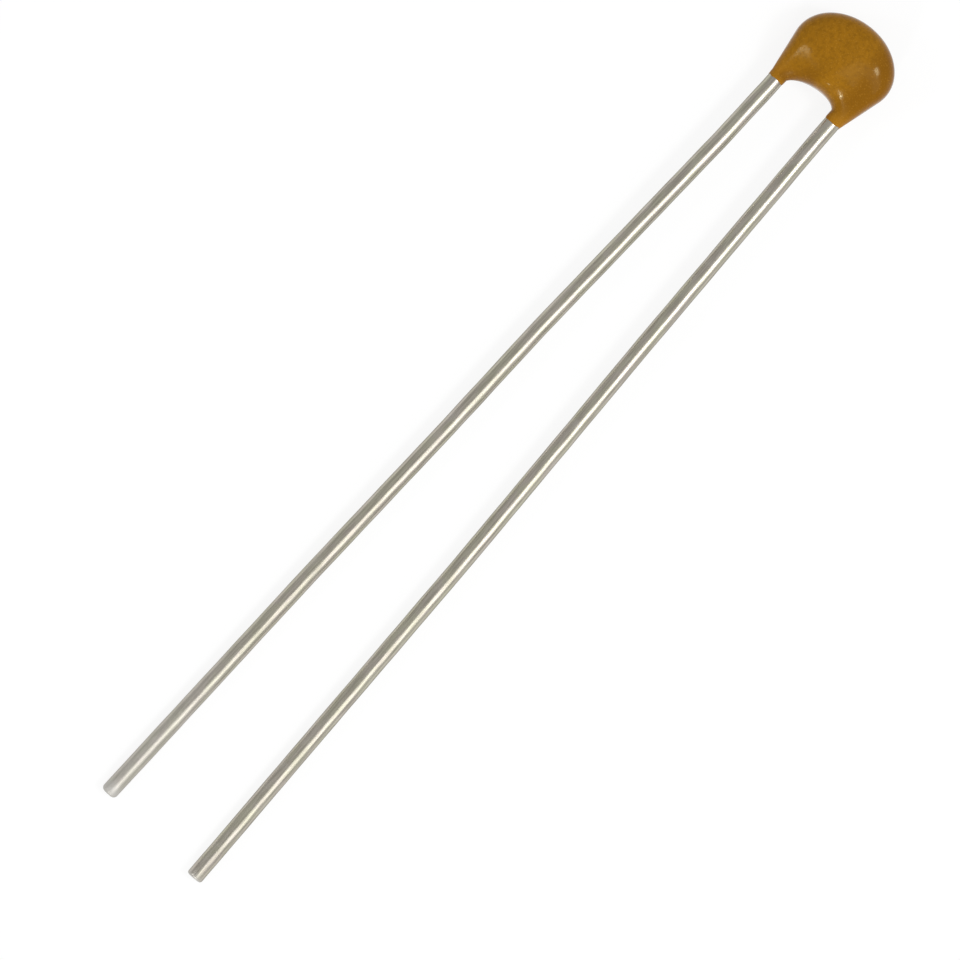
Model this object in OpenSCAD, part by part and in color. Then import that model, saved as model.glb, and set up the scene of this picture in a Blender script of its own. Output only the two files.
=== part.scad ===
// Multilayer ceramic capacitor with two radial leads, dipped in epoxy, lying on one face.
//
// The pieces are drawn upright in the component's own frame: X runs across the two leads,
// Y along them towards the top of the coating and Z through its flat faces. Y = 0 is where
// the legs of the coating end. The lying() module then lays them on the surface Z = 0,
// resting on the bulge of the coating and on the cut ends of the leads.

/* [Leads] */
// Distance between the centres of the leads where they leave the coating
lead_pitch = 2.45; // [2.2:0.05:3.2]
// Diameter of the lead wire
wire_d = 0.6; // [0.45:0.05:0.7]
// Length of the left lead below the leg of the coating
left_lead_l = 33.7; // [26:0.1:40]
// Length of the right lead below the leg of the coating
right_lead_l = 33.9; // [26:0.1:40]
// Radius of the slight bends along the leads, at the centre of the wire
bend_r = 8; // [4:0.5:10]
// How far a bend laps over the straight wire on each side of it
bend_lap = 0.05; // [0.03:0.01:0.1]
// How much thicker a bend is than the straight wire, on the radius
bend_proud = 0.002; // [0.001:0.001:0.005]
// Rounding round the cut end of the left lead
left_cut_r = 0.16; // [0.05:0.01:0.2]
// Rounding round the cut end of the right lead
right_cut_r = 0.1; // [0.05:0.01:0.2]

/* [Bends of the left lead] */
// Distance of the first bend below the leg
left_bend_1 = 0.6; // [0.6:0.1:1.5]
// Distance of the second bend below the leg
left_bend_2 = 3; // [2.5:0.1:6]
// Distance of the third bend below the leg
left_bend_3 = 12; // [8:0.1:14]
// Distance of the fourth bend below the leg
left_bend_4 = 16.5; // [15:0.1:19]
// Distance of the fifth bend below the leg
left_bend_5 = 23.5; // [21:0.1:25]
// Outward angle of the wire after the first bend, in degrees
left_bend_1_angle = 1; // [0:0.05:2.5]
// Outward angle of the wire after the second bend
left_bend_2_angle = 2.2; // [0:0.05:2.5]
// Outward angle of the wire after the third bend
left_bend_3_angle = 1; // [0:0.05:2.5]
// Outward angle of the wire after the fourth bend
left_bend_4_angle = 1.65; // [0:0.05:2.5]
// Outward angle of the wire after the fifth bend
left_bend_5_angle = 1.05; // [0:0.05:2.5]

/* [Bends of the right lead] */
// Distance of the first bend below the leg
right_bend_1 = 0.6; // [0.6:0.1:1.5]
// Distance of the second bend below the leg
right_bend_2 = 10; // [4:0.1:14]
// Distance of the third bend below the leg
right_bend_3 = 19.5; // [16:0.1:25]
// Outward angle of the wire after the first bend, in degrees
right_bend_1_angle = 1.4; // [0:0.05:2.5]
// Outward angle of the wire after the second bend
right_bend_2_angle = 1.8; // [0:0.05:2.5]
// Outward angle of the wire after the third bend
right_bend_3_angle = 1.15; // [0:0.05:2.5]

/* [Ceramic chip] */
// Size of the ceramic block along the leads
chip_w = 1.25; // [1:0.05:1.6]
// Thickness of the ceramic block
chip_t = 1; // [0.8:0.05:1.25]
// Rounding of the tumbled edges of the ceramic block
chip_edge_r = 0.08; // [0.04:0.01:0.12]
// Thickness of the metal on the ends of the block
termination_t = 0.04; // [0.02:0.005:0.08]
// How far that metal reaches round the sides of the block
termination_wrap = 0.4; // [0.2:0.05:0.5]

/* [Electrodes] */
// Number of electrodes in the stack
electrode_count = 12; // [4:1:20]
// Thickness of one electrode
electrode_t = 0.01; // [0.005:0.001:0.015]
// Plain ceramic above and below the stack
cover_t = 0.2; // [0.1:0.01:0.25]
// Plain ceramic between the electrodes and the sides of the block
side_margin = 0.2; // [0.15:0.01:0.3]
// Plain ceramic between an electrode and the termination that it does not touch
end_margin = 0.25; // [0.15:0.01:0.4]

/* [Solder] */
// Solder between the wire and the termination
solder_gap = 0.02; // [0.01:0.005:0.05]
// Radius of the hollow fillets between the wire and the termination
fillet_r = 0.2; // [0.14:0.01:0.22]
// Angle at which the fillets meet the wire and the termination
wetting_angle = 20; // [10:1:30]
// How far the inner end of the wire stands past the solder
wire_proud = 0.04; // [0.02:0.01:0.1]

/* [Coating] */
// Coating outside the leads at the widest place
side_wall = 0.39; // [0.25:0.01:0.6]
// Coating over each flat side of the terminations
face_wall = 0.51; // [0.3:0.01:0.8]
// Coating above the chip
crown_wall = 0.95; // [0.6:0.01:1.2]
// Coating between the chip and the saddle
saddle_wall = 0.52; // [0.3:0.01:0.8]
// Height of the saddle above the ends of the legs
leg_l = 0.48; // [0.25:0.01:0.8]
// Height of the widest place above the middle of the chip
waist_lift = 0.12; // [-0.1:0.01:0.3]
// Angle by which the coating leans to the right of the leads
coating_lean = 2.8; // [-4:0.1:4]
// How far the top of the saddle leans to the right, for each unit of its height
saddle_lean = 0.58; // [-0.8:0.01:0.8]
// Coating round the wire at the root of each leg
leg_film = 0.02; // [0.015:0.001:0.08]
// Coating round the wire at the very end of each leg
tip_film = 0.01; // [0.008:0.001:0.014]
// How far the coating has crept down the left lead
left_creep = 0.22; // [0.02:0.01:0.3]
// How far the coating has crept down the right lead
right_creep = 0.05; // [0.02:0.01:0.3]
// How slowly the legs swell into the body, where more is slower
swell = 1.25; // [1:0.05:1.6]
// Squareness of the section through the body, where 2 is an ellipse
squareness = 3.3; // [2:0.1:4]

/* [Smoothness] */
// Steps of the fan of sections that makes the coating
fan_steps = 60; // [24:2:72]
// Points round each section of the coating
ring_steps = 32; // [24:2:40]
// Facets of a full circle
circle_facets = 48; // [24:4:96]

/* [Hidden] */
$fn = circle_facets;
// How far a shape that cuts another runs past it
cut_over = 1;
wire_r = wire_d / 2;
lead_x = lead_pitch / 2;

// The bends of each lead, as the distance below the leg and the angle of the wire from there on
left_bends = [
    [left_bend_1, left_bend_1_angle], [left_bend_2, left_bend_2_angle],
    [left_bend_3, left_bend_3_angle], [left_bend_4, left_bend_4_angle],
    [left_bend_5, left_bend_5_angle]
];
right_bends = [
    [right_bend_1, right_bend_1_angle], [right_bend_2, right_bend_2_angle],
    [right_bend_3, right_bend_3_angle]
];

// The chip between the leads
termination_x = lead_x - wire_r - solder_gap;
chip_l = 2 * (termination_x - termination_t);
chip_bottom = leg_l + saddle_wall + termination_t;
chip_y = chip_bottom + chip_w / 2;
flat_w = chip_w - 2 * chip_edge_r;
wire_top = chip_y + flat_w / 2 + wire_proud;

// The stack of electrodes inside it
stack_t = chip_t - 2 * cover_t - electrode_t;
layer_step = stack_t / (electrode_count - 1);
electrode_l = chip_l - end_margin;
electrode_w = chip_w - 2 * side_margin;

// The outline of the coating, seen along Z
leg_r = wire_r + leg_film;
leg_x = lead_x + leg_r;
saddle_x = lead_x - leg_r;
waist_x = lead_x + wire_r + side_wall;
waist_y = chip_y + waist_lift;
top_y = chip_y + chip_w / 2 + termination_t + crown_wall;
crown_rise = top_y - waist_y;
half_t = chip_t / 2 + termination_t + face_wall;

// Where the straight flank of the outline, drawn from the leg, touches the elliptical crown
reach = [leg_x / waist_x, waist_y / crown_rise];
touch_t = acos(1 / norm(reach)) - atan2(reach[1], reach[0]);
touch = [waist_x * cos(touch_t), waist_y + crown_rise * sin(touch_t)];
flank_lean = (touch[0] - leg_x) / touch[1];

// The lying pose: the tilt that brings the ends of the leads down to the surface
lead_drop = half_t - wire_r;
longest_lead = max(left_lead_l, right_lead_l);
lie_tilt = atan(lead_drop / (longest_lead + waist_y));
lie_height = half_t * cos(lie_tilt) - waist_y * sin(lie_tilt);
lie_middle = (longest_lead - top_y) / 2 * cos(lie_tilt);

function electrode_name(i) = str("electrode_", i);

// Turns the upright component onto the surface it lies on
module lying() {
    translate([0, lie_middle, lie_height]) rotate([lie_tilt, 0, 0]) children();
}

// Mirrors what is drawn for the right side of the component onto the left
module left_side() {
    mirror([1, 0, 0]) children();
}

// ---- Leads -------------------------------------------------------------------------

// A straight stretch of wire along +Y
module stretch(l) {
    rotate([-90, 0, 0]) cylinder(h = l, r = wire_r);
}

// The last stretch of wire along +Y, with a rounded cut end
module cut_stretch(l, cut_r) {
    rotate([-90, 0, 0]) rotate_extrude() {
        square([wire_r, l - cut_r]);
        square([wire_r - cut_r, l]);
        translate([wire_r - cut_r, l - cut_r]) intersection() {
            circle(cut_r);
            square(cut_r);
        }
    }
}

// A bend of wire towards -X for a positive turn, with what follows it as children. It laps
// over the straight stretches, and is a hair thicker, so that no two surfaces coincide.
module bend(turn) {
    lap = bend_lap / bend_r * 180 / PI;
    mirror([turn < 0 ? 1 : 0, 0, 0]) translate([-bend_r, 0, 0]) {
        rotate(-lap) rotate_extrude(angle = abs(turn) + 2 * lap)
            translate([bend_r, 0]) circle(wire_r + bend_proud);
        rotate(abs(turn)) translate([bend_r, 0, 0])
            mirror([turn < 0 ? 1 : 0, 0, 0]) children();
    }
}

// Wire along +Y from the distance start, through the bends from number i on, to its cut end
module wire(bends, l, cut_r, start, i = 0) {
    if (i == len(bends)) {
        cut_stretch(l - start, cut_r);
    } else {
        turn = bends[i][1] - (i == 0 ? 0 : bends[i - 1][1]);
        tangent = bend_r * tan(abs(turn) / 2);
        run = bends[i][0] - tangent - start;
        stretch(run);
        translate([0, run, 0]) bend(turn) wire(bends, l, cut_r, bends[i][0] + tangent, i + 1);
    }
}

// The right lead: its inner end is beside the chip, and it runs out along -Y
module lead(bends, l, cut_r) {
    translate([lead_x, wire_top, 0]) rotate(180) wire(bends, l, cut_r, -wire_top);
}

module lead_left() {
    color("#b9b6a9") lying() left_side() lead(left_bends, left_lead_l, left_cut_r);
}

module lead_right() {
    color("#b9b6a9") lying() lead(right_bends, right_lead_l, right_cut_r);
}

// ---- Chip --------------------------------------------------------------------------

// A rectangle round the origin with round corners
module round_rectangle(l, w, r) {
    square([l - 2 * r, w], center = true);
    square([l, w - 2 * r], center = true);
    for (x = [-1, 1], y = [-1, 1])
        translate([x * (l / 2 - r), y * (w / 2 - r)]) circle(r);
}

// A block round the origin with its edges rounded as tumbling leaves them
module tumbled_block(l, w, t, r) {
    intersection() {
        linear_extrude(t, center = true) round_rectangle(l, w, r);
        rotate([90, 0, 0]) linear_extrude(w, center = true) round_rectangle(l, t, r);
        rotate([0, 90, 0]) linear_extrude(l, center = true) round_rectangle(t, w, r);
    }
}

module block_blank() {
    translate([0, chip_y, 0]) tumbled_block(chip_l, chip_w, chip_t, chip_edge_r);
}

// One electrode: odd ones run to the left termination and even ones to the right
module electrode_plate(i) {
    side = i % 2 == 1 ? -1 : 1;
    translate([side * (chip_l - electrode_l) / 2, chip_y, (i - 1) * layer_step - stack_t / 2])
        cube([electrode_l, electrode_w, electrode_t], center = true);
}

module ceramic_block() {
    color("#8d7b66") lying() difference() {
        block_blank();
        for (i = [1 : electrode_count]) electrode_plate(i);
    }
}

module electrode(i) {
    color("#9a9ca0") lying() electrode_plate(i);
}

// The metal that caps the right end of the block, without the block's own space
module cap_blank() {
    translate([0, chip_y, 0]) intersection() {
        tumbled_block(
            chip_l + 2 * termination_t, chip_w + 2 * termination_t, chip_t + 2 * termination_t,
            chip_edge_r + termination_t
        );
        translate([chip_l / 2 - termination_wrap, -chip_w / 2 - cut_over, -chip_t / 2 - cut_over])
            cube([termination_wrap + cut_over, chip_w + 2 * cut_over, chip_t + 2 * cut_over]);
    }
}

module termination() {
    difference() {
        cap_blank();
        block_blank();
    }
}

module termination_left() {
    color("#c9c6bd") lying() left_side() termination();
}

module termination_right() {
    color("#c9c6bd") lying() termination();
}

// ---- Solder ------------------------------------------------------------------------

// Section of the right joint, with X from the termination to the wire and Y across the chip.
// The fillets are arcs that meet the termination and the wire at the wetting angle. The
// section with the wire fills the joint, and laps into the termination.
module solder_section(wire_too) {
    root_x = wire_too ? -termination_t : 0;
    wire_x = solder_gap + wire_r;
    fillet_x = fillet_r * cos(wetting_angle);
    apart = sqrt(pow(wire_r, 2) + pow(fillet_r, 2) + 2 * wire_r * fillet_x);
    fillet_y = sqrt(pow(apart, 2) - pow(wire_x - fillet_x, 2));
    difference() {
        polygon([
            [root_x, -fillet_y], [fillet_x, -fillet_y], [wire_x, 0],
            [fillet_x, fillet_y], [root_x, fillet_y]
        ]);
        for (y = [-1, 1]) translate([fillet_x, y * fillet_y]) circle(fillet_r);
        if (!wire_too) translate([wire_x, 0]) circle(wire_r);
    }
}

module solder(wire_too = false) {
    translate([termination_x, chip_y + flat_w / 2, 0]) rotate([90, 0, 0])
        linear_extrude(flat_w) solder_section(wire_too);
}

module solder_left() {
    color("#a9aaa6") lying() left_side() solder();
}

module solder_right() {
    color("#a9aaa6") lying() solder();
}

// ---- Coating -----------------------------------------------------------------------
// The outside is a fan of closed sections. They turn about the point midway between the
// ends of the legs, from across the right leg, over the body, to across the left leg.

// Distance from that point to the saddle, half an ellipse that leans, at the angle a. It
// stops short of the leads, so that the coating closes round them.
function saddle_radius(a) = min(
    1 / norm([(cos(a) - saddle_lean * sin(a)) / saddle_x, sin(a) / leg_l]),
    saddle_x / abs(cos(a) + sin(a) * tan(coating_lean))
);

// Distance to the straight flank
function flank_radius(a) = leg_x / (cos(a) - flank_lean * sin(a));

// Distance to the far side of the elliptical crown
function crown_radius(a) =
    let (square = pow(cos(a) / waist_x, 2) + pow(sin(a) / crown_rise, 2))
    let (linear = waist_y * sin(a) / pow(crown_rise, 2))
    let (rest = pow(waist_y / crown_rise, 2) - 1)
    (linear + sqrt(pow(linear, 2) - square * rest)) / square;

// Distance to the outline, the same on both sides
function outline_radius(a) =
    a > 90 ? outline_radius(180 - a)
    : a < atan2(touch[1], touch[0]) ? flank_radius(a)
    : crown_radius(a);

// Half the thickness of the coating, from round the wire to over the chip
function half_thickness(a) = leg_r + (half_t - leg_r) * pow(sin(a), swell);

// A value raised to a power without losing its sign
function signed_pow(v, p) = sign(v) * pow(abs(v), p);

// A closed section at the angle a, as points in space
function fan_ring(a) =
    let (near = saddle_radius(a), far = outline_radius(a))
    let (bluntness = 2 / (2 + (squareness - 2) * sin(a)))
    [for (j = [0 : ring_steps - 1])
        let (turn = 360 * j / ring_steps)
        let (out = (near + far) / 2 + (far - near) / 2 * signed_pow(cos(turn), bluntness))
        let (y = out * sin(a))
        [out * cos(a) + y * tan(coating_lean), y,
         half_thickness(a) * signed_pow(sin(turn), bluntness)]];

// The ring where the coating ends on a wire, with side 1 for the right lead and -1 for the left
function leg_ring(side, creep) =
    [for (j = [0 : ring_steps - 1])
        let (turn = 360 * j / ring_steps, r = wire_r + tip_film)
        [side * (lead_x + r * cos(turn)), -creep, r * sin(turn)]];

// A solid through a list of rings with as many points each, closed at both ends
module skin(rings) {
    count = len(rings[0]);
    last = len(rings) - 1;
    polyhedron(
        points = [for (ring = rings) each ring],
        faces = concat(
            [[for (j = [0 : count - 1]) count - 1 - j]],
            [for (i = [0 : last - 1], j = [0 : count - 1])
                let (k = (j + 1) % count)
                each [
                    [i * count + j, i * count + k, (i + 1) * count + k],
                    [i * count + j, (i + 1) * count + k, (i + 1) * count + j]
                ]],
            [[for (j = [0 : count - 1]) last * count + j]]
        )
    );
}

// Everything that the coating closes round, without gaps between the pieces
module right_contents() {
    cap_blank();
    solder(wire_too = true);
    translate([lead_x, wire_top, 0]) rotate([90, 0, 0]) cylinder(h = wire_top + cut_over, r = wire_r);
}

module coating() {
    color("#a8741f") lying() difference() {
        skin([
            leg_ring(1, right_creep),
            for (i = [0 : fan_steps]) fan_ring(180 * i / fan_steps),
            leg_ring(-1, left_creep)
        ]);
        block_blank();
        right_contents();
        left_side() right_contents();
    }
}

coating();
lead_left();
lead_right();
solder_left();
solder_right();
termination_left();
termination_right();
ceramic_block();
for (i = [1 : electrode_count])
    electrode(i);
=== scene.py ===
"""Multilayer ceramic capacitor, lying on one face: the finished pieces, the stage and the camera.

The leads and the coating are drawn upright in the component's own frame, with X across the
leads, Y along them towards the top of the coating and Z through its flat faces. The lying pose
then lays them where the frame's own nodes are.
"""

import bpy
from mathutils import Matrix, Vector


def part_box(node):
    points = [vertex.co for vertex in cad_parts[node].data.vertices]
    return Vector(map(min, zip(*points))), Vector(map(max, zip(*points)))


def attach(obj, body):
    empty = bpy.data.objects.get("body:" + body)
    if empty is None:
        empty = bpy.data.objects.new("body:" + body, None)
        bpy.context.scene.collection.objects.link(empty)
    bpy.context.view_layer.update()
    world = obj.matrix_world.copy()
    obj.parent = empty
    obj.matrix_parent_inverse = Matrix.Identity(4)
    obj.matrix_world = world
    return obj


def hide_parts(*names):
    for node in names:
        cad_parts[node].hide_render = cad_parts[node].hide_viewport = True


bl_info = {
    "name": "Dipped Ceramic Capacitor",
    "version": (1, 0, 0),
    "blender": (4, 5, 0),
    "location": "3D View > Sidebar > Capacitor",
    "description": "Builds a radial-leaded ceramic capacitor with a dipped epoxy coating",
    "category": "Add Mesh",
}

import math

import bmesh
import bpy
from mathutils import Matrix, Vector, noise

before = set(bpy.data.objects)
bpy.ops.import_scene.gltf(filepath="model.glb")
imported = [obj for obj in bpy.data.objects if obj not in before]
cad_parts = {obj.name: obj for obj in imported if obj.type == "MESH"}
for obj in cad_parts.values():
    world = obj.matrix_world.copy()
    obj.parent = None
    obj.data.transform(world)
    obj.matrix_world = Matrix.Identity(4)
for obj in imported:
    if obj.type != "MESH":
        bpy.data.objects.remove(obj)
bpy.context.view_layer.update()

MM = 0.001
BODY = "root"
LEAD_SIDES = {"left": -1, "right": 1}
ELECTRODES = sorted(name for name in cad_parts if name.startswith("electrode_"))
WIRE_LINE = "straight_wire"
WIRE_WEAR = "wire_wear"
LEG_SHARE = "leg_share"
# Share of painted shade on the coating, kept on its vertices
PAINTED_SHADE_SHARE = "painted_shade_share"

# How far the solids that scene pieces stand for may differ from them along each side
LEAD_SLACK = 0.03 * MM
COATING_SLACK = 0.05 * MM

# How far apart the two leads' patterns are taken, so that they aren't alike: in the noise's own
# steps for the wandering of the wire, and as a distance for the marks in the plating
WANDER_GAP = 7
MARKS_GAP = 3 * MM

# How much of the noise's own step the wire's wandering crosses in one radius
WANDER_ROUND = 0.7

# How near and how far the camera sees, as a share and a multiple of its distance
CLIP_RANGE = 100

# The soft boxes: the direction of each in the component's own frame, its width and height in
# millimetres, and its level
LAMPS = {
    "strip_right": ((0.52, -0.04, 0.853), 340, 120, 1.3),
    "lamp_right": ((0.505, 0.193, 0.841), 75, 75, 26),
    "lamp_left": ((-0.545, -0.48, 0.687), 60, 60, 12),
    "lamp_low": ((0.266, -0.84, 0.473), 50, 26, 90),
}


# ---- Settings ------------------------------------------------------------------------------


def length(name, description, mm, low=0.0, high=100.0):
    """A length property, given in millimetres and kept in metres"""
    return bpy.props.FloatProperty(
        name=name, description=description, default=mm * MM, min=low * MM, max=high * MM,
        precision=5, unit="LENGTH",
    )


def angle(name, description, degrees, low=-90.0, high=90.0):
    """An angle property, given in degrees and kept in radians"""
    return bpy.props.FloatProperty(
        name=name, description=description, default=math.radians(degrees),
        min=math.radians(low), max=math.radians(high), subtype="ANGLE", unit="ROTATION",
    )


def amount(name, description, value, low=0.0, high=1.0):
    """A plain number property"""
    return bpy.props.FloatProperty(
        name=name, description=description, default=value, min=low, max=high, precision=4
    )


def count(name, description, value, low=1, high=512):
    """A whole number property"""
    return bpy.props.IntProperty(
        name=name, description=description, default=value, min=low, max=high
    )


def colour(name, description, value):
    """A colour property in linear light"""
    return bpy.props.FloatVectorProperty(
        name=name, description=description, default=value, size=3, min=0, max=1, subtype="COLOR"
    )


def distances(name, description, mm):
    """A list of distances, given in millimetres and kept in metres"""
    return bpy.props.FloatVectorProperty(
        name=name, description=description, default=[d * MM for d in mm], size=len(mm),
        precision=5, unit="LENGTH",
    )


def headings(name, description, degrees):
    """A list of angles, given in degrees and kept in radians"""
    return bpy.props.FloatVectorProperty(
        name=name, description=description, default=[math.radians(d) for d in degrees],
        size=len(degrees), unit="ROTATION",
    )


class CapacitorLeads(bpy.types.PropertyGroup):
    """Sizes of the two wire leads"""

    pitch: length("Pitch", "Distance between the leads where they leave the coating", 2.45)
    wire_d: length("Wire Diameter", "Diameter of the lead wire", 0.6)
    left_l: length("Left Length", "Length of the left lead below its leg", 33.7)
    right_l: length("Right Length", "Length of the right lead below its leg", 33.9)
    bend_r: length("Bend Radius", "Radius of the slight bends", 8)
    left_cut_r: length("Left Cut", "Rounding of the left lead's cut end", 0.16)
    right_cut_r: length("Right Cut", "Rounding of the right lead's cut end", 0.1)
    left_bends: distances(
        "Left Bends", "Distances of the left lead's bends below the leg", (0.6, 3, 12, 16.5, 23.5)
    )
    left_headings: headings(
        "Left Headings", "Outward heading after each bend", (1, 2.2, 1, 1.65, 1.05)
    )
    right_bends: distances(
        "Right Bends", "Distances of the right lead's bends below the leg", (0.6, 10, 19.5)
    )
    right_headings: headings("Right Headings", "Outward heading after each bend", (1.4, 1.8, 1.15))
    sides: count("Sides", "Faces round the wire", 48)
    step: length("Step", "Distance between the rings along the wire", 0.22)
    cut_steps: count("Cut Steps", "Rings in the rounding of a cut end", 8)
    unevenness: length("Unevenness", "How far the drawn wire wanders in and out", 0.006)
    wander_size: length("Wander Size", "Length of the wire's rises and hollows", 0.9)
    left_dull_l: length("Left Dull Length", "Stretch of the left lead that has dulled", 9)
    right_dull_l: length("Right Dull Length", "Stretch of the right lead that has dulled", 0.25)
    left_dull: amount("Left Dullness", "How dull the left lead's end is", 0.45)
    right_dull: amount("Right Dullness", "How dull the right lead's end is", 0.4)
    left_worn_l: length("Left Worn Length", "Matt stretch by the left lead's cut end", 0.6)
    right_worn_l: length("Right Worn Length", "Matt stretch by the right lead's cut end", 0.08)
    worn_reach: amount("Worn Reach", "Worn lengths over which the matt stretch fades", 1.3, 1, 3)


class CapacitorChip(bpy.types.PropertyGroup):
    """Sizes of the chip that the coating closes round"""

    chip_w: length("Chip Width", "Size of the ceramic block along the leads", 1.25)
    chip_t: length("Chip Thickness", "Thickness of the ceramic block", 1)
    edge_r: length("Edge Radius", "Rounding of the block's tumbled edges", 0.08)
    termination_t: length("Termination", "Thickness of the metal on the block's ends", 0.04)
    wire_proud: length("Wire End", "How far the wire stands past the solder", 0.04)


class CapacitorCoating(bpy.types.PropertyGroup):
    """Sizes of the dipped coating"""

    side_wall: length("Side Wall", "Coating outside the leads at the widest place", 0.39)
    face_wall: length("Face Wall", "Coating over each flat side of the chip", 0.51)
    crown_wall: length("Crown Wall", "Coating above the chip", 0.95)
    saddle_wall: length("Saddle Wall", "Coating between the chip and the saddle", 0.52)
    leg_l: length("Leg Length", "Height of the saddle above the ends of the legs", 0.48)
    waist_lift: length("Waist Lift", "Height of the widest place above the chip's middle", 0.12)
    lean: angle("Lean", "Angle by which the coating leans to the right of the leads", 2.8)
    saddle_lean: amount("Saddle Lean", "How far the saddle leans for its height", 0.58, -2, 2)
    leg_film: length("Leg Film", "Coating round the wire at the root of each leg", 0.02)
    tip_film: length("Tip Film", "Coating round the wire at the end of each leg", 0.01)
    left_creep: length("Left Creep", "How far the coating has crept down the left lead", 0.22)
    right_creep: length("Right Creep", "How far the coating has crept down the right lead", 0.05)
    left_lip: amount("Left Lip", "Share of the left creep that the film's outside reaches", 0.9)
    right_lip: amount("Right Lip", "Share of the right creep that the film's outside reaches", 0.8)
    swell: amount("Swell", "How slowly the legs swell into the body", 1.25, 1, 2)
    saddle_swell: amount("Saddle Swell", "How slowly they swell on the saddle's side", 1.436, 1, 2)
    squareness: amount("Squareness", "Squareness of the body's section", 3.3, 2, 4)
    fan_steps: count("Fan Steps", "Sections from one leg to the other", 96)
    ring_steps: count("Ring Steps", "Points round each section", 72)
    sag: length("Sag", "How far the poured surface rises and falls", 0.004)
    sag_size: length("Sag Size", "Width of the poured surface's rises and hollows", 0.9)
    peel: length("Peel", "Height of the orange peel", 0.0012)
    peel_size: length("Peel Size", "Width of the orange peel's grains", 0.16)
    leg_end: angle("Leg End", "Angle of the fan where the leg's thin coating ends", 38)
    # Painted shade: the epoxy's colour is darkened on the right flank and in the hollow by the
    # saddle, into the left leg
    flank_painted_shade: amount("Flank Shade", "How much deeper the right flank's tone is", 1.0)
    flank_x: amount("Flank Start", "Where the flank's tone begins, as a share of the lead's X", 0.4)
    flank_spread: amount("Flank Spread", "Wire radii over which that tone deepens", 2.6, 0, 10)
    hollow_painted_shade: amount("Hollow Shade", "How much deeper the tone is by the saddle", 1.0)
    hollow_start: amount("Hollow Start", "Where the saddle's tone begins, from the outside", 0.6)
    hollow_spread: amount("Hollow Spread", "Share of the section that it deepens over", 0.35)
    hollow_reach: amount("Hollow Reach", "How soon that tone fills the left half", 1.8, 1, 10)
    meniscus: length("Meniscus", "How unevenly the coating ends on the wire", 0.05)
    meniscus_size: length("Meniscus Size", "Width of the unevenness of the coating's end", 0.25)
    meniscus_most: amount("Meniscus Limit", "Share of the creep that it may take back", 0.6)
    bulge_x: distances(
        "Bulge X", "Places of the bulges across the leads", (1.145, -0.957, 0.843, 0.28)
    )
    bulge_y: distances(
        "Bulge Y", "Places of the bulges above the legs", (2.202, 1.432, 1.153, 0.817)
    )
    bulge_h: distances("Bulge Height", "Height of each bulge", (0.026, 0.045, 0.036, 0.036))
    bulge_r: distances("Bulge Radius", "How far each bulge spreads", (0.3, 0.27, 0.138, 0.14))


class CapacitorFinish(bpy.types.PropertyGroup):
    """Colours and gloss of the finishes"""

    epoxy: colour("Epoxy", "Ochre of the coating", (0.308, 0.132, 0.005))
    epoxy_thin: colour("Thin Epoxy", "Thin coating over the legs", (0.318, 0.134, 0.005))
    epoxy_dark: colour("Epoxy Filler", "Darker clouds of filler", (0.213, 0.09, 0.003))
    # Painted shade: the colour for the right flank and the saddle's hollow, where less light falls
    epoxy_painted_shade: colour("Deep Epoxy", "Where the coating is deeper in tone", (0.212, 0.084, 0.002))
    epoxy_speck: colour("Epoxy Speck", "Pale specks of filler", (0.48, 0.23, 0.03))
    epoxy_rough: amount("Epoxy Roughness", "Roughness where the epoxy is glossiest", 0.1)
    epoxy_gloss: amount("Epoxy Gloss", "Strength of the epoxy's reflections", 0.15)
    epoxy_tint: colour("Epoxy Reflections", "Tint of the epoxy's reflections", (1, 0.95, 0.6))
    tin: colour("Tin", "Tin plating of the leads", (0.53, 0.51, 0.405))
    tin_mauve: colour("Mauve Tin", "Where the plating is a little mauve", (0.545, 0.50, 0.44))
    tin_dark: colour("Tin Streak", "Drawing marks in the plating", (0.33, 0.305, 0.25))
    tin_dull: colour("Dull Tin", "Tin that has dulled", (0.59, 0.575, 0.54))
    tin_rough: amount("Tin Roughness", "Roughness where the tin is brightest", 0.14)
    tin_edge: colour("Tin Edge", "Tint of the tin's reflections at its edges", (0.5, 0.5, 0.5))
    tin_relief: length("Tin Relief", "Depth of the drawing marks", 0.001)
    solder: colour("Solder", "Solder joints", (0.45, 0.45, 0.43))
    silver: colour("Silver", "Terminations of the chip", (0.60, 0.59, 0.55))
    ceramic: colour("Ceramic", "Dielectric of the chip", (0.27, 0.2, 0.135))
    electrode: colour("Electrode", "Metal of the electrodes", (0.40, 0.41, 0.43))


class CapacitorStage(bpy.types.PropertyGroup):
    """The floor, the lights and the camera"""

    floor_size: length("Floor Size", "Width of the floor", 1200, 0, 5000)
    floor: colour("Floor", "Colour of the floor", (0.97, 0.97, 0.97))
    floor_lift: amount("Floor Lift", "Share of the floor that is plain white", 0.87)
    studio_left: colour("Studio Left", "Light all round, to the left", (0.555, 0.555, 0.555))
    studio_right: colour("Studio Right", "Light all round, to the right", (0.725, 0.725, 0.725))
    studio_from: amount("Studio From", "Where the left's light gives way, across the sky", -0.2, -1)
    studio_to: amount("Studio To", "Where the right's light is full", 0.6, -1)
    lamp_distance: length("Lamp Distance", "Distance of the lamps", 400, 0, 5000)
    camera_distance: length("Camera Distance", "Distance of the camera", 300, 0, 5000)
    view_w: length("View Width", "Width that the camera sees at the object", 32.877)
    view_x: length("View X", "Middle of the view across the leads", 0.325, -100)
    view_y: length("View Y", "Middle of the view along the leads", -17.19, -100)
    roll: angle("Roll", "Angle between the view's top and the leads", 41.61)


SETTINGS = {
    "capacitor_leads": CapacitorLeads,
    "capacitor_chip": CapacitorChip,
    "capacitor_coating": CapacitorCoating,
    "capacitor_finish": CapacitorFinish,
    "capacitor_stage": CapacitorStage,
}


# ---- The component's own frame -------------------------------------------------------------


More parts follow.
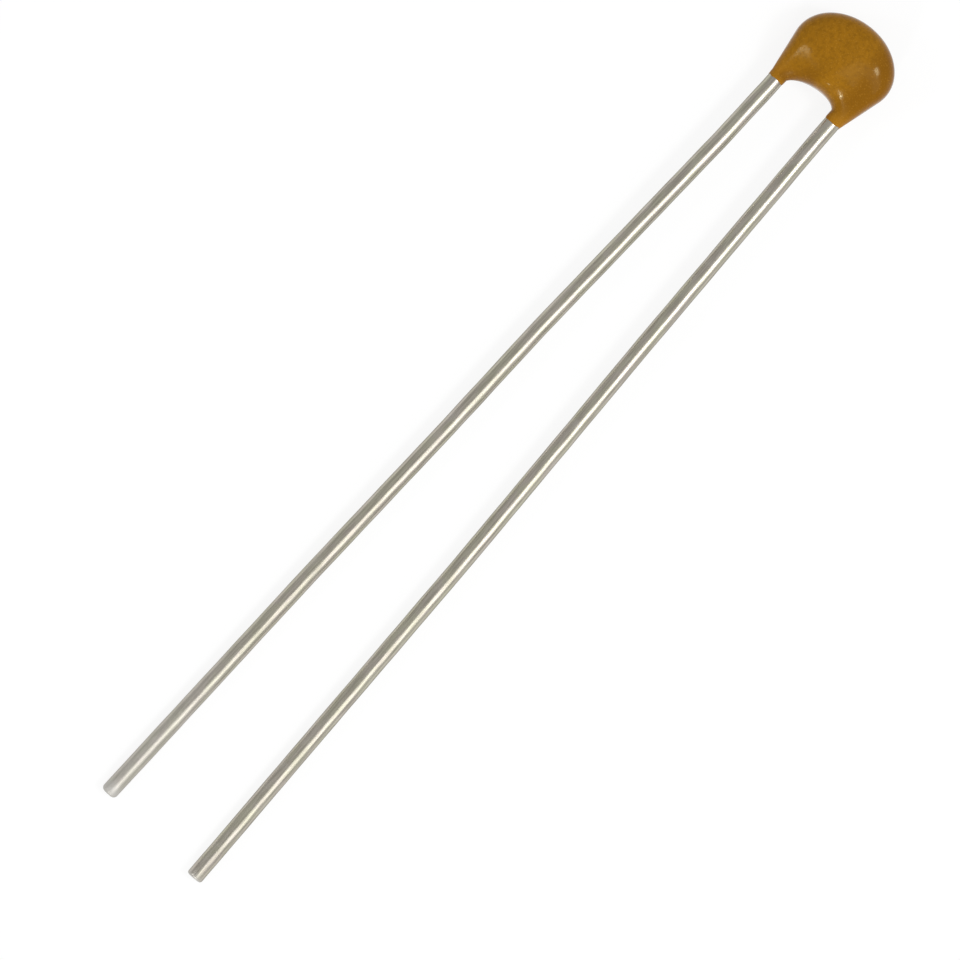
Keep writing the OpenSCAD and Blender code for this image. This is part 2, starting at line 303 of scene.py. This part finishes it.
class Layout:
    """Places worked out from the settings, in the component's own frame"""

    def __init__(self, scene):
        leads, chip, coat = (
            scene.capacitor_leads, scene.capacitor_chip, scene.capacitor_coating
        )
        self.leads, self.chip, self.coat = leads, chip, coat
        self.wire_r = leads.wire_d / 2
        self.lead_x = leads.pitch / 2
        chip_bottom = coat.leg_l + coat.saddle_wall + chip.termination_t
        self.chip_y = chip_bottom + chip.chip_w / 2
        self.wire_top = self.chip_y + chip.chip_w / 2 - chip.edge_r + chip.wire_proud
        self.leg_r = self.wire_r + coat.leg_film
        self.leg_x = self.lead_x + self.leg_r
        self.saddle_x = self.lead_x - self.leg_r
        self.waist_x = self.lead_x + self.wire_r + coat.side_wall
        self.waist_y = self.chip_y + coat.waist_lift
        self.top_y = self.chip_y + chip.chip_w / 2 + chip.termination_t + coat.crown_wall
        self.crown_rise = self.top_y - self.waist_y
        self.half_t = chip.chip_t / 2 + chip.termination_t + coat.face_wall

        # Each flank is the straight line from its leg's end that touches the crown's oval
        reach = Vector((self.leg_x / self.waist_x, self.waist_y / self.crown_rise))
        turn = math.acos(1 / reach.length) - math.atan2(reach.y, reach.x)
        touch_x = self.waist_x * math.cos(turn)
        touch_y = self.waist_y + self.crown_rise * math.sin(turn)
        self.touch_angle = math.atan2(touch_y, touch_x)
        self.flank_lean = (touch_x - self.leg_x) / touch_y

        # The component lies on the bulge of its coating and on the cut end of its longer lead
        longest = max(leads.left_l, leads.right_l)
        tilt = math.atan((self.half_t - self.wire_r) / (longest + self.waist_y))
        height = self.half_t * math.cos(tilt) - self.waist_y * math.sin(tilt)
        middle = (longest - self.top_y) / 2 * math.cos(tilt)
        self.lying = Matrix.Translation((0, middle, height)) @ Matrix.Rotation(tilt, 4, "X")

    def saddle_radius(self, a):
        """Distance from midway between the legs' ends to the saddle, at the angle a"""
        coat = self.coat
        across = (math.cos(a) - coat.saddle_lean * math.sin(a)) / self.saddle_x
        oval = 1 / math.hypot(across, math.sin(a) / coat.leg_l)
        return min(oval, self.saddle_x / abs(math.cos(a) + math.sin(a) * math.tan(coat.lean)))

    def outline_radius(self, a):
        """Distance to the flank or the crown, the same on both sides"""
        if a > math.pi / 2:
            return self.outline_radius(math.pi - a)
        if a < self.touch_angle:
            return self.leg_x / (math.cos(a) - self.flank_lean * math.sin(a))
        square = (math.cos(a) / self.waist_x) ** 2 + (math.sin(a) / self.crown_rise) ** 2
        linear = self.waist_y * math.sin(a) / self.crown_rise**2
        rest = (self.waist_y / self.crown_rise) ** 2 - 1
        return (linear + math.sqrt(linear**2 - square * rest)) / square

    def coating_point(self, a, turn):
        """A point of the coating's surface, on the section at the angle a"""
        coat = self.coat
        near, far = self.saddle_radius(a), self.outline_radius(a)
        power = 2 + (coat.squareness - 2) * math.sin(a)
        c, s = math.cos(turn), math.sin(turn)
        reach = (abs(c) ** power + abs(s) ** power) ** (-1 / power)
        out = (near + far) / 2 + (far - near) / 2 * reach * c
        swell = coat.swell + (coat.saddle_swell - coat.swell) * (1 - reach * c) / 2
        thick = self.leg_r + (self.half_t - self.leg_r) * max(math.sin(a), 0) ** swell
        y = out * math.sin(a)
        return Vector((out * math.cos(a) + y * math.tan(coat.lean), y, thick * reach * s))


def ease(share):
    """A share held between 0 and 1, with soft ends"""
    share = min(max(share, 0.0), 1.0)
    return share * share * (3 - 2 * share)


# ---- Shader maths --------------------------------------------------------------------------


class Value:
    """A shader socket that takes part in sums"""

    def __init__(self, tree, socket):
        self.tree, self.socket = tree, socket

    def maths(self, operation, first, second):
        """A Math node on two values, one of which may be a plain number"""
        return self.tree.node("ShaderNodeMath", {"operation": operation}, {0: first, 1: second})

    def __add__(self, other):
        return self.maths("ADD", self, other)

    __radd__ = __add__

    def __sub__(self, other):
        return self.maths("SUBTRACT", self, other)

    def __rsub__(self, other):
        return self.maths("SUBTRACT", other, self)

    def __mul__(self, other):
        return self.maths("MULTIPLY", self, other)

    __rmul__ = __mul__

    def clamped(self):
        """The value held between 0 and 1"""
        return self.tree.node(
            "ShaderNodeMath", {"operation": "ADD", "use_clamp": True}, {0: self, 1: 0.0}
        )


class Finish:
    """A material, or the world, built from nodes"""

    def __init__(self, owner):
        owner.use_nodes = True
        self.owner, self.nodes, self.links = owner, owner.node_tree.nodes, owner.node_tree.links
        self.nodes.clear()

    def node(self, kind, settings=None, inputs=None, output=0):
        """Adds a node, with its settings first and then its sockets' values or links"""
        made = self.nodes.new(kind)
        for name, value in (settings or {}).items():
            setattr(made, name, value)
        for name, value in (inputs or {}).items():
            if isinstance(value, Value):
                self.links.new(value.socket, made.inputs[name])
            else:
                made.inputs[name].default_value = value
        return Value(self, made.outputs[output])

    def fade(self, value, low, high):
        """0 where the value is at low, 1 where it is at high, and smooth between"""
        return self.node(
            "ShaderNodeMapRange", {"interpolation_type": "SMOOTHSTEP"},
            {"Value": value, "From Min": low, "From Max": high},
        )

    def mix(self, share, first, second):
        """A colour between two, by the number of each socket, because names repeat in this node"""
        return self.node(
            "ShaderNodeMix", {"data_type": "RGBA"},
            {0: share, 6: self.rgba(first), 7: self.rgba(second)}, output=2,
        )

    def layer(self, under, over, value, low, high, most):
        """The colour over laid on the one under, from low to high, up to that share"""
        return self.mix(self.fade(value, low, high) * most, under, over)

    def rgba(self, shade):
        """A colour as a socket takes it"""
        return shade if isinstance(shade, Value) else (*shade, 1)

    def place(self):
        """Where a point lies in its object's own coordinates"""
        return self.node("ShaderNodeTexCoord", output="Object")

    def attribute(self, name, output):
        """A point attribute of the mesh: its Vector, or as one number its Fac"""
        return self.node("ShaderNodeAttribute", {"attribute_name": name}, output=output)

    def drawn_out(self, line, share):
        """The place along a wire with its length cut to that share, which draws a pattern out"""
        return self.node(
            "ShaderNodeVectorMath", {"operation": "MULTIPLY"}, {0: line, 1: (1, share, 1)}
        )

    def cloud(self, vector, size, detail, roughness):
        """Noise between 0 and 1 whose features are about that size"""
        return self.node(
            "ShaderNodeTexNoise", {},
            {"Vector": vector, "Scale": 1 / size, "Detail": detail, "Roughness": roughness},
        )

    def bump(self, height, distance):
        """A normal from heights between 0 and 1 that stand for that distance"""
        return self.node(
            "ShaderNodeBump", {}, {"Height": height, "Distance": distance, "Strength": 1.0}
        )

    def surface(self, inputs):
        """A Principled shader as the surface"""
        shader = self.node("ShaderNodeBsdfPrincipled", {}, inputs)
        self.output("ShaderNodeOutputMaterial", shader)

    def output(self, kind, shader):
        """An output node, which has no sockets of its own to hand back"""
        self.links.new(shader.socket, self.nodes.new(kind).inputs["Surface"])


def new_material(name):
    """An empty material of that name, to be built from nodes"""
    return Finish(bpy.data.materials.new(name))


def epoxy_material(finish, coat):
    """Ochre dipped epoxy: clouds of filler, fine specks and orange peel under a soft gloss, and
    painted shade
    """
    made = new_material("dipped_epoxy")
    place = made.place()
    clouds = made.cloud(place, size=0.9 * MM, detail=3, roughness=0.55)
    mottle = made.cloud(place, size=0.13 * MM, detail=3, roughness=0.65)
    grain = made.cloud(place, size=0.05 * MM, detail=2, roughness=0.6)
    leg = made.attribute(LEG_SHARE, "Fac")
    # The share of painted shade, on the right flank and by the saddle
    shade = made.attribute(PAINTED_SHADE_SHARE, "Fac")
    body = made.layer(finish.epoxy, finish.epoxy_dark, clouds, low=0.3, high=0.75, most=0.3)
    body = made.layer(body, finish.epoxy_dark, mottle, low=0.4, high=0.7, most=0.75)
    body = made.mix(leg, body, finish.epoxy_thin)
    # Painted shade: darker on the right flank and in the hollow by the saddle, where less light
    # falls
    body = made.mix(shade, body, finish.epoxy_painted_shade)
    body = made.layer(body, finish.epoxy_speck, grain, low=0.56, high=0.74, most=0.45)
    peel = made.cloud(place, size=coat.peel_size, detail=2, roughness=0.5)
    height = peel + 0.25 * mottle + 0.12 * grain
    made.surface(
        {
            "Base Color": body,
            "Roughness": finish.epoxy_rough + 0.1 * mottle + 0.05 * clouds + 0.3 * leg,
            "Specular IOR Level": finish.epoxy_gloss,
            "Specular Tint": (*finish.epoxy_tint, 1),
            "Normal": made.bump(height, coat.peel),
        }
    )
    return made.owner


def tin_material(finish):
    """Drawn, tin-plated wire: fine lines along it, dull patches and a dulled end"""
    made = new_material("tinned_wire")
    line = made.attribute(WIRE_LINE, "Vector")
    wear = made.attribute(WIRE_WEAR, "Fac")
    marks = made.cloud(made.drawn_out(line, 0.05), size=0.05 * MM, detail=3, roughness=0.6)
    scratches = made.cloud(made.drawn_out(line, 0.012), size=0.02 * MM, detail=2, roughness=0.5)
    tints = made.cloud(made.drawn_out(line, 0.3), size=0.3 * MM, detail=3, roughness=0.6)
    patches = made.cloud(line, size=0.55 * MM, detail=4, roughness=0.6)
    grain = made.cloud(line, size=0.05 * MM, detail=3, roughness=0.6)
    tin = made.mix(made.fade(tints, low=0.38, high=0.62), finish.tin, finish.tin_mauve)
    tin = made.layer(tin, finish.tin_dark, marks, low=0.4, high=0.65, most=0.6)
    tin = made.layer(tin, finish.tin_dark, scratches, low=0.55, high=0.8, most=0.4)
    tin = made.layer(tin, finish.tin_dull, patches, low=0.5, high=0.8, most=0.3)
    tin = made.mix(wear, tin, finish.tin_dull)
    made.surface(
        {
            "Base Color": tin,
            "Metallic": 1.0,
            "Specular Tint": (*finish.tin_edge, 1),
            "Roughness": finish.tin_rough + 0.16 * patches + 0.05 * marks + 0.35 * wear,
            "Normal": made.bump(marks + 0.4 * scratches + 0.15 * grain, finish.tin_relief),
        }
    )
    return made.owner


def grained_material(
    name, shade, grain_size, roughness, metallic=1.0, darkest=0.7, full=0.75, rougher=0.15,
    relief=0.004 * MM,
):
    """A cast or fired metal, or a fired ceramic, whose grain is darker and rougher in places"""
    made = new_material(name)
    grain = made.cloud(made.place(), size=grain_size, detail=3, roughness=0.6)
    darker = [darkest * channel for channel in shade]
    made.surface(
        {
            "Base Color": made.mix(made.fade(grain, low=0.35, high=full), shade, darker),
            "Metallic": metallic,
            "Roughness": roughness + rougher * grain,
            "Normal": made.bump(grain, relief),
        }
    )
    return made.owner


# ---- Meshes --------------------------------------------------------------------------------


def edges_of(mesh, ring):
    """The edges round a ring of vertices"""
    return [mesh.edges.get(pair) for pair in zip(ring, ring[1:] + ring[:1])]


def start_ring(mesh, sides, move):
    """A first ring, closed with a face, as its vertices in order, each where move says"""
    ring = bmesh.ops.create_circle(mesh, segments=sides, radius=MM, cap_ends=False)["verts"]
    for index, vert in enumerate(ring):
        vert.co = move(index)
    close(mesh, ring)
    return ring


def grow(mesh, ring, move):
    """Extrudes the ring and puts each new vertex where move says, in the same order"""
    made = bmesh.ops.extrude_edge_only(mesh, edges=edges_of(mesh, ring))["geom"]
    new = {v for v in made if isinstance(v, bmesh.types.BMVert)}
    grown = [next(e.other_vert(v) for e in v.link_edges if e.other_vert(v) in new) for v in ring]
    for index, vert in enumerate(grown):
        vert.co = move(index)
    return grown


def close(mesh, ring):
    """Closes a ring with a face"""
    bmesh.ops.contextual_create(mesh, geom=edges_of(mesh, ring))


def finish_mesh(mesh, name, material, layout):
    """Turns a closed mesh outwards, lays it down and makes it an object at the origin"""
    bmesh.ops.recalc_face_normals(mesh, faces=mesh.faces[:])
    if mesh.calc_volume(signed=True) < 0:
        bmesh.ops.reverse_faces(mesh, faces=mesh.faces[:])
    mesh.transform(layout.lying)
    data = bpy.data.meshes.new(name)
    mesh.to_mesh(data)
    mesh.free()
    data.shade_smooth()
    data.materials.append(material)
    made = bpy.data.objects.new(name, data)
    bpy.context.scene.collection.objects.link(made)
    return made


def same_place(piece, node, slack):
    """Stops the script if the piece doesn't fill the box of the node that it stands for"""
    low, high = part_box(node)
    corners = [Vector(c) for c in piece.bound_box]
    for axis in range(3):
        found = (min(c[axis] for c in corners), max(c[axis] for c in corners))
        if abs(found[0] - low[axis]) > slack or abs(found[1] - high[axis]) > slack:
            raise RuntimeError(
                f"{piece.name} runs from {found[0]:.6f} to {found[1]:.6f} along axis {axis}, "
                f"and {node} from {low[axis]:.6f} to {high[axis]:.6f}"
            )


# ---- Leads ---------------------------------------------------------------------------------


def wire_stations(layout, bends, directions, wire_l, step):
    """Points down a lead as if it were the right one, past its last bend, and what is left of it

    Each is the distance along the wire, the place and the heading.
    """
    place, heading, along = Vector((layout.lead_x, layout.wire_top, 0)), 0.0, 0.0
    stations = [(along, place.copy(), heading)]

    def run(distance, turn):
        nonlocal place, heading, along
        steps = max(1, math.ceil(distance / step))
        for _ in range(steps):
            middle = heading + turn / steps / 2
            part = distance / steps
            place = place + part * Vector((math.sin(middle), -math.cos(middle), 0))
            heading += turn / steps
            along += part
            stations.append((along, place.copy(), heading))

    reached = -layout.wire_top
    last = 0.0
    for distance, towards in zip(bends, directions):
        turn = towards - last
        tangent = layout.leads.bend_r * math.tan(abs(turn) / 2)
        run(distance - tangent - reached, 0)
        run(layout.leads.bend_r * abs(turn), turn)
        reached, last = distance + tangent, towards
    return stations, wire_l - reached


def lead_rings(layout, side_name):
    """The rings of a lead, as stations with their radii, and its length to the cut end"""
    leads = layout.leads
    cut_r = getattr(leads, side_name + "_cut_r")
    stations, rest = wire_stations(
        layout, getattr(leads, side_name + "_bends"), getattr(leads, side_name + "_headings"),
        getattr(leads, side_name + "_l"), leads.step,
    )
    along, place, heading = stations[-1]
    direction = Vector((math.sin(heading), -math.cos(heading), 0))

    def station(part):
        return along + part, place + part * direction, heading

    steps = math.ceil((rest - cut_r) / leads.step)
    stations += [station((rest - cut_r) * i / steps) for i in range(1, steps + 1)]
    rings = [(reached, layout.wire_r) for reached in stations]
    for i in range(1, leads.cut_steps + 1):
        turn = math.pi / 2 * i / leads.cut_steps
        radius = layout.wire_r - cut_r + cut_r * math.cos(turn)
        rings.append((station(rest - cut_r + cut_r * math.sin(turn)), radius))
    return rings, along + rest


def build_lead(layout, side_name, material):
    """One lead: a swept circle with a rounded cut end"""
    leads, side = layout.leads, LEAD_SIDES[side_name]
    dull_l = getattr(leads, side_name + "_dull_l")
    worn_l = getattr(leads, side_name + "_worn_l")
    dull = getattr(leads, side_name + "_dull")
    rings, wire_end = lead_rings(layout, side_name)
    mesh = bmesh.new()
    line_layer = mesh.verts.layers.float_vector.new(WIRE_LINE)
    wear_layer = mesh.verts.layers.float.new(WIRE_WEAR)

    def spot_of(index):
        turn = 2 * math.pi * index / leads.sides
        return Vector((math.cos(turn), math.sin(turn), 0))

    def mover(station, radius):
        gone, middle, heading = station
        middle = Vector((side * middle.x, middle.y, middle.z))
        across = Vector((side * math.cos(heading), math.sin(heading), 0))

        def move(index):
            spot = spot_of(index)
            probe = spot * WANDER_ROUND
            probe.z = gone / leads.wander_size + WANDER_GAP * side
            reach = radius + leads.unevenness * noise.noise(probe)
            return middle + across * (spot.x * reach) + Vector((0, 0, spot.y * reach))

        return move

    def mark(ring, station, radius):
        gone = station[0]
        left = wire_end - gone
        wear = max(dull * ease(1 - left / dull_l), ease(leads.worn_reach - left / worn_l))
        for index, vert in enumerate(ring):
            spot = spot_of(index) * radius
            vert[line_layer] = (spot.x + MARKS_GAP * side, gone, spot.y)
            vert[wear_layer] = wear

    ring = start_ring(mesh, leads.sides, mover(*rings[0]))
    mark(ring, *rings[0])
    for station, radius in rings[1:]:
        ring = grow(mesh, ring, mover(station, radius))
        mark(ring, station, radius)
    close(mesh, ring)
    made = finish_mesh(mesh, f"wire_{side_name}", material, layout)
    same_place(made, f"lead_{side_name}", LEAD_SLACK)
    return made


# ---- Coating -------------------------------------------------------------------------------


def build_coating(layout, material):
    """The dipped coating: a fan of sections from leg to leg, and a bore for each wire"""
    coat = layout.coat
    mesh = bmesh.new()
    share_layer = mesh.verts.layers.float.new(LEG_SHARE)
    painted_shade_layer = mesh.verts.layers.float.new(PAINTED_SHADE_SHARE)

    def turn_of(index):
        return 2 * math.pi * index / coat.ring_steps

    def on_wire(side, radius, height):
        def move(index):
            turn = turn_of(index)
            return Vector(
                (side * (layout.lead_x + radius * math.cos(turn)), height, radius * math.sin(turn))
            )

        return move

    def tip(side, radius, creep):
        def move(index):
            spot = on_wire(side, radius, 0)(index)
            probe = Vector((spot.x, spot.z, 0)) / coat.meniscus_size
            wander = coat.meniscus * noise.noise(probe)
            spot.y = -creep + min(wander, creep * coat.meniscus_most)
            return spot

        return move

    def bulge(spot):
        return sum(
            high * math.exp(-((spot.xy - Vector(middle)).length / reach) ** 2 / 2)
            for *middle, high, reach in zip(coat.bulge_x, coat.bulge_y, coat.bulge_h, coat.bulge_r)
        )

    def section(a):
        def move(index):
            spot = layout.coating_point(a, turn_of(index))
            swing = coat.sag * math.sin(a) * noise.noise(spot / coat.sag_size)
            rise = bulge(spot) * spot.z / layout.half_t
            return spot + spot.normalized() * swing + Vector((0, 0, rise))

        return move

    # Painted shade: each vertex gets a share of darker colour on the right flank and in the hollow
    # by the saddle, reaching into the left leg
    def mark(ring, a):
        leg = ease(1 - math.sin(a) / math.sin(coat.leg_end))
        left_half = ease(-coat.hollow_reach * math.cos(a))
        for index, vert in enumerate(ring):
            past = vert.co.x - coat.flank_x * layout.lead_x
            flank = ease(past / layout.wire_r / coat.flank_spread)
            inward = (1 - math.cos(turn_of(index))) / 2
            hollow = ease((inward - coat.hollow_start) / coat.hollow_spread + leg) * left_half
            vert[share_layer] = leg
            vert[painted_shade_layer] = max(
                coat.flank_painted_shade * flank * (1 - leg), coat.hollow_painted_shade * hollow
            )

    film = layout.wire_r + coat.tip_film
    fan = [math.pi * i / coat.fan_steps for i in range(coat.fan_steps + 1)]
    rings = [
        (tip(1, layout.wire_r, coat.right_creep), 0),
        (tip(1, film, coat.right_creep * coat.right_lip), 0),
        *((section(a), a) for a in fan),
        (tip(-1, film, coat.left_creep * coat.left_lip), 0),
        (tip(-1, layout.wire_r, coat.left_creep), 0),
        (on_wire(-1, layout.wire_r, layout.wire_top), 0),
    ]
    ring = start_ring(mesh, coat.ring_steps, on_wire(1, layout.wire_r, layout.wire_top))
    for move, a in rings:
        ring = grow(mesh, ring, move)
        mark(ring, a)
    close(mesh, ring)
    made = finish_mesh(mesh, "epoxy_coating", material, layout)
    same_place(made, "coating", COATING_SLACK)
    return made


# ---- Stage ---------------------------------------------------------------------------------


def build_floor(stage):
    """A pale floor that stays white where nothing shades it"""
    mesh = bmesh.new()
    bmesh.ops.create_grid(mesh, x_segments=1, y_segments=1, size=stage.floor_size / 2)
    data = bpy.data.meshes.new("floor")
    mesh.to_mesh(data)
    mesh.free()
    made = new_material("pale_floor")
    paths = made.node("ShaderNodeLightPath").socket.node.outputs
    camera, glossy, clear = (
        Value(made, paths[name])
        for name in ("Is Camera Ray", "Is Glossy Ray", "Is Transmission Ray")
    )
    lifted = (camera + glossy + clear).clamped() * stage.floor_lift
    matt = made.node("ShaderNodeBsdfDiffuse", {}, {"Color": (*stage.floor, 1)})
    white = made.node("ShaderNodeEmission", {}, {"Color": (1, 1, 1, 1), "Strength": 1.0})
    mixed = made.node("ShaderNodeMixShader", {}, {0: lifted, 1: matt, 2: white})
    made.output("ShaderNodeOutputMaterial", mixed)
    data.materials.append(made.owner)
    floor = bpy.data.objects.new("floor", data)
    bpy.context.scene.collection.objects.link(floor)


def build_world(stage):
    """Soft studio light all round, a little stronger from the right of the leads"""
    world = bpy.data.worlds.new("studio")
    bpy.context.scene.world = world
    made = Finish(world)
    direction = made.node("ShaderNodeTexCoord", output="Generated")
    across = made.node("ShaderNodeSeparateXYZ", {}, {"Vector": direction}, output="X")
    share = made.fade(across, stage.studio_from, stage.studio_to)
    dome = made.mix(share, stage.studio_left, stage.studio_right)
    light = made.node("ShaderNodeBackground", {}, {"Color": dome, "Strength": 1.0})
    made.output("ShaderNodeOutputWorld", light)


def add_lamp(name, layout, stage, towards, width, height, level):
    """A soft box in that direction of the component's frame, aimed at the coating"""
    turned = layout.lying.to_3x3()
    back = (turned @ Vector(towards)).normalized()
    across = turned @ Vector((1, 0, 0))
    across = (across - across.dot(back) * back).normalized()
    data = bpy.data.lights.new(name, "AREA")
    data.shape = "RECTANGLE"
    data.size, data.size_y = width * MM, height * MM
    data.energy = level * math.pi * data.size * data.size_y
    lamp = bpy.data.objects.new(name, data)
    axes = Matrix((across, back.cross(across), back)).transposed().to_4x4()
    middle = layout.lying @ Vector((0, layout.chip_y, 0))
    lamp.matrix_world = Matrix.Translation(middle + back * stage.lamp_distance) @ axes
    bpy.context.scene.collection.objects.link(lamp)


def add_camera(layout, stage):
    """A long lens square to the flat of the component"""
    turned = layout.lying.to_3x3()
    back = turned @ Vector((0, 0, 1))
    up = turned @ Vector((-math.sin(stage.roll), math.cos(stage.roll), 0))
    right = up.cross(back)
    target = layout.lying @ Vector((stage.view_x, stage.view_y, 0))
    data = bpy.data.cameras.new("camera")
    data.lens = data.sensor_width * stage.camera_distance / stage.view_w
    data.clip_start = stage.camera_distance / CLIP_RANGE
    data.clip_end = stage.camera_distance * CLIP_RANGE
    camera = bpy.data.objects.new("camera", data)
    axes = Matrix((right, up, back)).transposed().to_4x4()
    camera.matrix_world = Matrix.Translation(target + back * stage.camera_distance) @ axes
    bpy.context.scene.collection.objects.link(camera)
    bpy.context.scene.camera = camera


# ---- Operators -----------------------------------------------------------------------------


class CAPACITOR_OT_leads(bpy.types.Operator):
    """Build the two tinned wire leads in place of the frame's leads"""

    bl_idname = "capacitor.leads"
    bl_label = "Build Leads"

    def execute(self, context):
        layout = Layout(context.scene)
        material = tin_material(context.scene.capacitor_finish)
        for side_name in LEAD_SIDES:
            wire = build_lead(layout, side_name, material)
            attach(wire, BODY)
            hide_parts(f"lead_{side_name}")
        return {"FINISHED"}


class CAPACITOR_OT_coating(bpy.types.Operator):
    """Build the dipped epoxy coating in place of the frame's coating"""

    bl_idname = "capacitor.coating"
    bl_label = "Build Coating"

    def execute(self, context):
        layout = Layout(context.scene)
        material = epoxy_material(context.scene.capacitor_finish, layout.coat)
        coating = build_coating(layout, material)
        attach(coating, BODY)
        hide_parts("coating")
        return {"FINISHED"}


class CAPACITOR_OT_chip(bpy.types.Operator):
    """Finish the chip inside: its ceramic, electrodes, terminations and solder"""

    bl_idname = "capacitor.chip"
    bl_label = "Finish Chip"

    def execute(self, context):
        finish = context.scene.capacitor_finish
        groups = {
            ("ceramic_block",): grained_material(
                "fired_ceramic", finish.ceramic, grain_size=0.03 * MM, roughness=0.6,
                metallic=0.0, darkest=0.75, full=0.7, rougher=0.2, relief=0.002 * MM,
            ),
            ("termination_left", "termination_right"): grained_material(
                "fired_silver", finish.silver, grain_size=0.03 * MM, roughness=0.4
            ),
            ("solder_left", "solder_right"): grained_material(
                "soft_solder", finish.solder, grain_size=0.08 * MM, roughness=0.3
            ),
            tuple(ELECTRODES): grained_material(
                "electrode_metal", finish.electrode, grain_size=0.02 * MM, roughness=0.35
            ),
        }
        for names, material in groups.items():
            for name in names:
                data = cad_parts[name].data
                data.materials.clear()
                data.materials.append(material)
        return {"FINISHED"}


class CAPACITOR_OT_stage(bpy.types.Operator):
    """Set up the floor, the soft studio light and the camera"""

    bl_idname = "capacitor.stage"
    bl_label = "Set Up Stage"

    def execute(self, context):
        scene = context.scene
        layout, stage = Layout(scene), scene.capacitor_stage
        scene.view_settings.view_transform = "Standard"
        build_floor(stage)
        build_world(stage)
        for name, lamp in LAMPS.items():
            add_lamp(name, layout, stage, *lamp)
        add_camera(layout, stage)
        return {"FINISHED"}


class CAPACITOR_PT_panel(bpy.types.Panel):
    """Lists the settings and the steps of the capacitor"""

    bl_label = "Ceramic Capacitor"
    bl_idname = "CAPACITOR_PT_panel"
    bl_space_type = "VIEW_3D"
    bl_region_type = "UI"
    bl_category = "Capacitor"

    def draw(self, context):
        for name, group in SETTINGS.items():
            box = self.layout.box()
            box.label(text=group.__doc__)
            settings = getattr(context.scene, name)
            for key in group.__annotations__:
                box.prop(settings, key)
        for step in STEPS:
            self.layout.operator(step.bl_idname)


STEPS = (
    CAPACITOR_OT_leads,
    CAPACITOR_OT_coating,
    CAPACITOR_OT_chip,
    CAPACITOR_OT_stage,
)


def register():
    for cls in (*SETTINGS.values(), *STEPS, CAPACITOR_PT_panel):
        bpy.utils.register_class(cls)
    for name, group in SETTINGS.items():
        setattr(bpy.types.Scene, name, bpy.props.PointerProperty(type=group))


def unregister():
    for name in SETTINGS:
        delattr(bpy.types.Scene, name)
    for cls in reversed((*SETTINGS.values(), *STEPS, CAPACITOR_PT_panel)):
        bpy.utils.unregister_class(cls)


def main():
    register()
    bpy.ops.capacitor.leads()
    bpy.ops.capacitor.coating()
    bpy.ops.capacitor.chip()
    bpy.ops.capacitor.stage()


if __name__ == "__main__":
    main()
